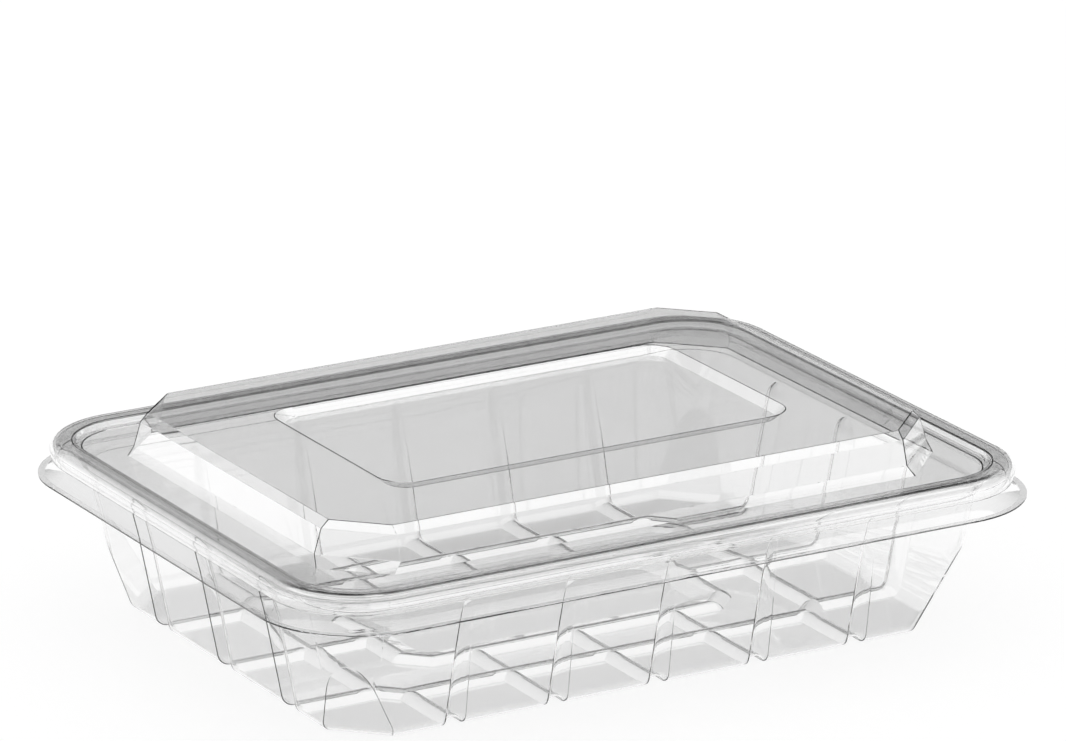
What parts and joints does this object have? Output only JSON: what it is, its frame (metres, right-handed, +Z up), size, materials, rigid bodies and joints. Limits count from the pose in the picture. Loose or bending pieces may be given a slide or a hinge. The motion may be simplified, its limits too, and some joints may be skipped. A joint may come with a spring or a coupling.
{
  "type": "clear plastic food container with lid",
  "caption": "Rectangular clear plastic food tray with ribbed floor and grooved walls, and a domed lid that lifts off.",
  "frame": {"origin": "centre of the tray's floor, on the surface it rests on", "axes": "+X along the long side, +Y along the short side, +Z up, the way the lid lifts"},
  "size_m": [0.24, 0.1864, 0.0597],
  "materials": {
    "tray_pet": "clear gloss",
    "lid_pet": "clear gloss"
  },
  "bodies": {
    "tray": {"base_tray": "tray_pet"},
    "cover": {"lid": "lid_pet"}
  },
  "joints": [
    {"name": "lid_lift", "type": "slide", "parent": "tray", "child": "cover", "axis": [0, 0, 1], "range_m": [0, 0.08]}
  ]
}
